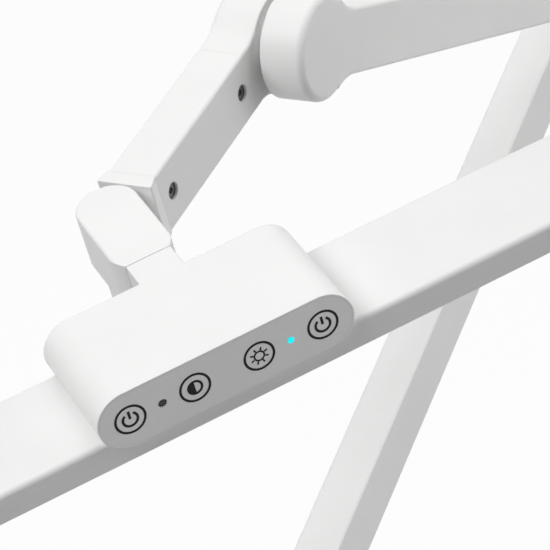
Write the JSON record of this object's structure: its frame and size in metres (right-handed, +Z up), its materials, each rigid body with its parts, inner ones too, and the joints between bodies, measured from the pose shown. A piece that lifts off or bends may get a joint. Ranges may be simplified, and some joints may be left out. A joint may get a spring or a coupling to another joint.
{
  "type": "beauty treatment lamp",
  "caption": "Swing-arm treatment lamp: a flat LED bar with a touch control box on a short link and two tube arms with disc pivots, swivelling on a table clamp.",
  "frame": {"origin": "on the table face under the upper jaw's rubber pad, on the axis of the swivel post", "axes": "+Z up along the swivel post, +X along the arm pivots, +Y to the back, the way the lower arm leans"},
  "size_m": [0.3891, 0.7075, 0.5429],
  "materials": {
    "arm_white": "white satin powder coat on aluminium",
    "clamp_white": "white satin powder coat on a steel casting",
    "box_white": "white fine-textured moulded plastic",
    "panel_white": "white smooth touch panel with dark key marks",
    "bar_white": "white satin coat on an aluminium extrusion",
    "opal": "opal white light-spreading plastic",
    "led_strip": "white solder mask on a metal-core board with yellow LED packages",
    "circuit_board": "green circuit board",
    "steel": "zinc-plated steel",
    "black_steel": "blackened steel",
    "black_plastic": "black plastic",
    "rubber": "black rubber",
    "lens_blue": "clear light-blue lit lens",
    "knob_white": "white moulded plastic"
  },
  "bodies": {
    "clamp": {"jaw_pad": "rubber", "clamp_frame": "clamp_white", "swivel_bush": "black_plastic"},
    "press": {"pressure_pad": "steel", "pad_cover": "rubber"},
    "screw": {"clamp_screw": "steel", "clamp_knob": "knob_white"},
    "shoulder": {"swivel_spigot": "steel", "shoulder_block": "arm_white", "power_inlet": "black_plastic", "shoulder_bolt": "steel", "shoulder_spring_washer": "steel", "shoulder_friction_washer": "black_plastic"},
    "lower_arm": {"lower_arm_tube": "arm_white", "lower_arm_foot": "arm_white", "lower_arm_head": "arm_white", "lower_arm_screws": "black_steel", "shoulder_cover": "knob_white", "elbow_cover": "knob_white"},
    "upper_arm": {"upper_arm_tube": "arm_white", "upper_arm_rear": "arm_white", "upper_arm_front": "arm_white", "upper_arm_screws": "black_steel", "elbow_bolt": "steel", "elbow_spring_washer": "steel", "elbow_friction_washer": "black_plastic", "link_bolt": "steel", "link_spring_washer": "steel", "link_friction_washer": "black_plastic"},
    "link": {"link_tube": "arm_white", "link_disc_end": "arm_white", "link_cap": "arm_white", "link_screws": "black_steel", "link_cover": "knob_white", "wrist_washer": "black_plastic"},
    "head": {"knuckle": "arm_white", "wrist_pin": "steel", "neck_bolt": "steel", "control_box": "box_white", "touch_panel": "panel_white", "touch_board": "circuit_board", "driver_board": "circuit_board", "indicator_lens": "lens_blue", "sensor_window": "black_plastic", "box_screws": "steel", "bar_housing": "bar_white", "led_board": "led_strip", "diffuser": "opal", "bar_cap_left": "knob_white", "bar_cap_right": "knob_white", "bar_cap_screws": "steel"}
  },
  "joints": [
    {"name": "base_swivel", "type": "hinge", "parent": "clamp", "child": "shoulder", "pos_m": [0, 0, 0.04], "axis": [0, 0, 1], "range_deg": [-170, 170]},
    {"name": "shoulder_tilt", "type": "hinge", "parent": "shoulder", "child": "lower_arm", "pos_m": [0, 0, 0.10125], "axis": [1, 0, 0], "range_deg": [-18, 50]},
    {"name": "elbow_tilt", "type": "hinge", "parent": "lower_arm", "child": "upper_arm", "pos_m": [0, 0.30865, 0.35568], "axis": [-1, 0, 0], "range_deg": [-25, 100]},
    {"name": "link_tilt", "type": "hinge", "parent": "upper_arm", "child": "link", "pos_m": [0, -0.02183, 0.37416], "axis": [1, 0, 0], "range_deg": [-80, 35]},
    {"name": "wrist_turn", "type": "hinge", "parent": "link", "child": "head", "pos_m": [-0.0228, -0.129, 0.31884], "axis": [0, -0.4587, 0.8886], "range_deg": [-136.5, 33.5]},
    {"name": "clamp_slide", "type": "slide", "parent": "clamp", "child": "press", "axis": [0, 0, 1], "range_m": [-0.034, 0.025]},
    {"name": "screw_turn", "type": "hinge", "parent": "press", "child": "screw", "pos_m": [0, 0, -0.06], "axis": [0, 0, 1], "range_deg": [-4200, 3100]}
  ],
  "couplings": [
    {"joint": "screw_turn", "follows": "clamp_slide", "rad_per_m": 2094.4}
  ]
}
